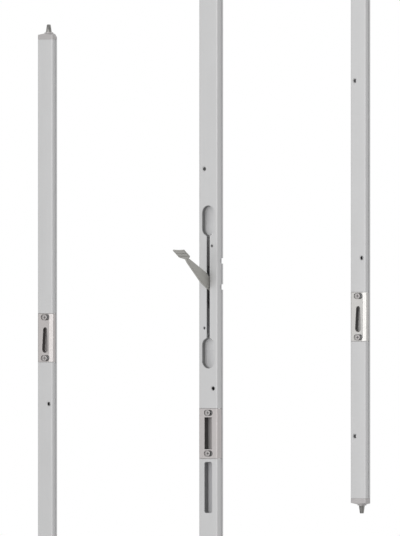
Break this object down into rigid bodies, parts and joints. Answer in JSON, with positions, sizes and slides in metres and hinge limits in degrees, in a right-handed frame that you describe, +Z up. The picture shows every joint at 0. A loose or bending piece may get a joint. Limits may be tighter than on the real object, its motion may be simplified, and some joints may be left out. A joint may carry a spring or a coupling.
{
  "type": "multipoint door lock",
  "caption": "Passive-leaf multipoint door lock: channel face rails in separate lengths with a flip lever, geared drive rods, conical shoot bolts and keepers.",
  "frame": {"origin": "the centre rail's face, on its middle line at the level of the lever's pivot", "axes": "+Z up along the rails, +X across the face to the right as the lever is faced, +Y into the door"},
  "size_m": [0.4215, 0.0665, 0.941],
  "materials": {
    "rail": "satin silver zinc",
    "end_cap": "cast zinc, silver",
    "cup": "pressed, satin silver",
    "keeper": "cast, satin nickel",
    "keeper_screw": "zinc plated",
    "lever": "cast zinc, matt",
    "case": "zinc plated",
    "pocket": "moulded grey",
    "rod": "zinc plated strip",
    "gear": "sintered steel",
    "pin": "turned",
    "bolt": "turned steel",
    "guide": "moulded nylon"
  },
  "bodies": {
    "root": {"rail_centre": "rail", "rail_top": "rail", "rail_bottom": "rail", "top_end_guide": "end_cap", "bottom_end_guide": "end_cap", "upper_finger_cup": "cup", "lower_finger_cup": "cup", "latch_keeper": "keeper", "top_hook_keeper": "keeper", "bottom_hook_keeper": "keeper", "latch_keeper_screws": "keeper_screw", "top_hook_keeper_screws": "keeper_screw", "bottom_hook_keeper_screws": "keeper_screw", "top_guide_screw": "keeper_screw", "bottom_guide_screw": "keeper_screw", "gear_case_left": "case", "gear_case_right": "case", "latch_keeper_seat": "case", "top_hook_keeper_seat": "case", "bottom_hook_keeper_seat": "case", "deadbolt_box": "pocket", "pivot_pin": "pin", "idler_pin": "pin", "face_rivets": "pin", "centre_rod_guides": "guide", "top_rod_guides": "guide", "bottom_rod_guides": "guide"},
    "lever": {"lever": "lever", "lower_drive_pinion": "gear", "upper_drive_pinion": "gear"},
    "idler": {"idler_gear": "gear"},
    "upper_drive": {"rod_upper": "rod", "rack_upper": "rod", "upper_rack_rivets": "pin"},
    "lower_drive": {"rod_lower": "rod", "rack_lower": "rod", "lower_rack_rivets": "pin"},
    "top_bolt_drive": {"rod_top": "rod", "top_shoot_bolt": "bolt", "top_bolt_pin": "pin"},
    "bottom_bolt_drive": {"rod_bottom": "rod", "bottom_shoot_bolt": "bolt", "bottom_bolt_pin": "pin"}
  },
  "joints": [
    {"name": "lever_swing", "type": "hinge", "parent": "root", "child": "lever", "pos_m": [0, 0.0063, 0], "axis": [1, 0, 0], "range_deg": [-56.9, 123.1]},
    {"name": "idler_spin", "type": "hinge", "parent": "root", "child": "idler", "pos_m": [0, 0.0063, 0.0072], "axis": [1, 0, 0], "range_deg": [-123.1, 56.9]},
    {"name": "upper_rod_slide", "type": "slide", "parent": "root", "child": "upper_drive", "axis": [0, 0, 1], "range_m": [-0.00774, 0.00358]},
    {"name": "lower_rod_slide", "type": "slide", "parent": "root", "child": "lower_drive", "axis": [0, 0, 1], "range_m": [-0.00358, 0.00774]},
    {"name": "top_bolt_slide", "type": "slide", "parent": "root", "child": "top_bolt_drive", "axis": [0, 0, 1], "range_m": [-0.00774, 0.00358]},
    {"name": "bottom_bolt_slide", "type": "slide", "parent": "root", "child": "bottom_bolt_drive", "axis": [0, 0, 1], "range_m": [-0.00358, 0.00774]}
  ],
  "couplings": [
    {"joint": "idler_spin", "follows": "lever_swing", "ratio": -1},
    {"joint": "upper_rod_slide", "follows": "lever_swing", "m_per_rad": -0.0036},
    {"joint": "lower_rod_slide", "follows": "lever_swing", "m_per_rad": 0.0036},
    {"joint": "top_bolt_slide", "follows": "lever_swing", "m_per_rad": -0.0036},
    {"joint": "bottom_bolt_slide", "follows": "lever_swing", "m_per_rad": 0.0036}
  ]
}
